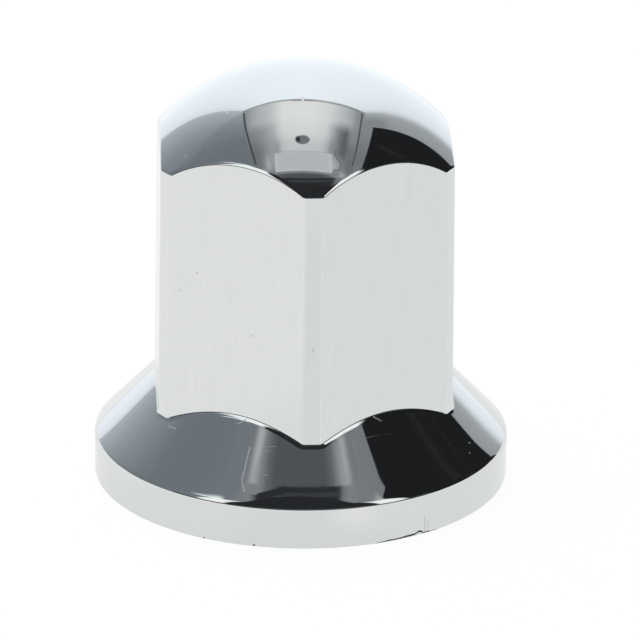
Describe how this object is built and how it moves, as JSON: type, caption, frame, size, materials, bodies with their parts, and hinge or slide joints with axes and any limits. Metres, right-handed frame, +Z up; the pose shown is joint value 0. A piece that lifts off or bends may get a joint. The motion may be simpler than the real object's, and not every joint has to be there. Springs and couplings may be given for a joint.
{
  "type": "lug nut cover",
  "caption": "Push-on cover for a wheel nut: a hollow hexagonal column under a ball-shaped crown, opening into a conical flange with a plain rim.",
  "frame": {"origin": "centre of the circle that the rim stands on", "axes": "+Z up the axis of the hexagon to the crown; -Y through the middle of one upright corner, so that two flats face +X and -X"},
  "size_m": [0.05, 0.05, 0.0506],
  "materials": {
    "polished_shell": "mirror polished outside, with fine polishing lines on the flats; plain satin inside"
  },
  "bodies": {
    "root": {"cover_shell": "polished_shell"}
  },
  "joints": []
}
